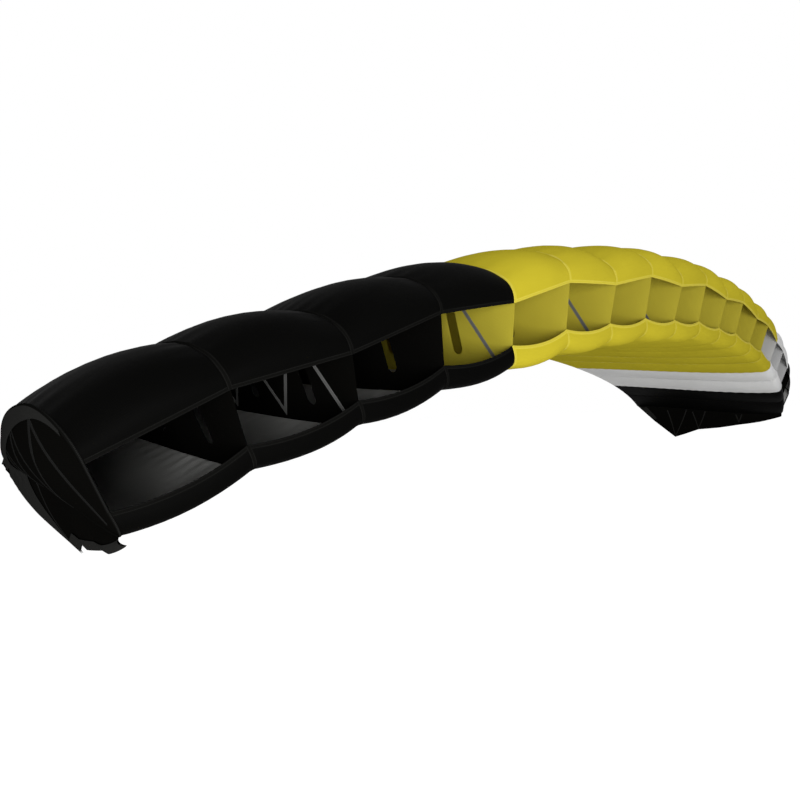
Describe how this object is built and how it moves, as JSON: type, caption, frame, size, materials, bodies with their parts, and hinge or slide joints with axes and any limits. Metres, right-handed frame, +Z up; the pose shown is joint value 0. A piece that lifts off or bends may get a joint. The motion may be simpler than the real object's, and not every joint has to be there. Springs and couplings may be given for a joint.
{
  "type": "ram-air paraglider wing",
  "caption": "Inflated ram-air paraglider wing of double-skinned cloth cells on ribs, arched, with open inlets along its nose and a hanging panel at each tip.",
  "frame": {"origin": "inside the middle cell, 0.65 m behind its lower lip and just above the bottom skin, where the pull of the suspension lines comes together", "axes": "+X along the span towards the tip with the white cell next to it, -Y towards the nose and its inlets, +Z up"},
  "size_m": [6.1982, 2.0692, 1.3367],
  "materials": {
    "black_ripstop": "fine black ripstop nylon, slight sheen",
    "yellow_ripstop": "fine yellow ripstop nylon, slight sheen, a little light comes through",
    "white_ripstop": "fine white ripstop nylon, slight sheen, a little light comes through",
    "grey_tape": "woven grey load tape, matt",
    "charcoal_facing": "charcoal facing cloth, matt"
  },
  "bodies": {
    "root": {"top_skin_1": "black_ripstop", "bottom_skin_1": "black_ripstop", "top_skin_2": "black_ripstop", "bottom_skin_2": "black_ripstop", "top_skin_3": "yellow_ripstop", "bottom_skin_3": "yellow_ripstop", "top_skin_4": "yellow_ripstop", "bottom_skin_4": "yellow_ripstop", "top_skin_5": "yellow_ripstop", "bottom_skin_5": "yellow_ripstop", "top_skin_6": "yellow_ripstop", "bottom_skin_6": "yellow_ripstop", "top_skin_7": "yellow_ripstop", "bottom_skin_7": "yellow_ripstop", "top_skin_8": "white_ripstop", "bottom_skin_8": "white_ripstop", "top_skin_9": "black_ripstop", "bottom_skin_9": "black_ripstop", "rib_00": "black_ripstop", "tape_00": "grey_tape", "rib_01": "black_ripstop", "rib_02": "black_ripstop", "tape_02": "grey_tape", "rib_03": "black_ripstop", "rib_04": "yellow_ripstop", "tape_04": "grey_tape", "rib_05": "yellow_ripstop", "rib_06": "yellow_ripstop", "tape_06": "grey_tape", "rib_07": "yellow_ripstop", "rib_08": "yellow_ripstop", "tape_08": "grey_tape", "rib_09": "yellow_ripstop", "rib_10": "yellow_ripstop", "tape_10": "grey_tape", "rib_11": "yellow_ripstop", "rib_12": "yellow_ripstop", "tape_12": "grey_tape", "rib_13": "yellow_ripstop", "rib_14": "white_ripstop", "tape_14": "grey_tape", "rib_15": "white_ripstop", "rib_16": "white_ripstop", "tape_16": "grey_tape", "rib_17": "black_ripstop", "rib_18": "black_ripstop", "tape_18": "grey_tape", "stabiliser_00": "black_ripstop", "facing_00": "charcoal_facing", "foot_tape_00_B": "grey_tape", "foot_tape_00_C": "grey_tape", "foot_tape_00_D": "grey_tape", "stabiliser_18": "black_ripstop", "facing_18": "charcoal_facing", "foot_tape_18_B": "grey_tape", "foot_tape_18_C": "grey_tape", "foot_tape_18_D": "grey_tape"}
  },
  "joints": []
}
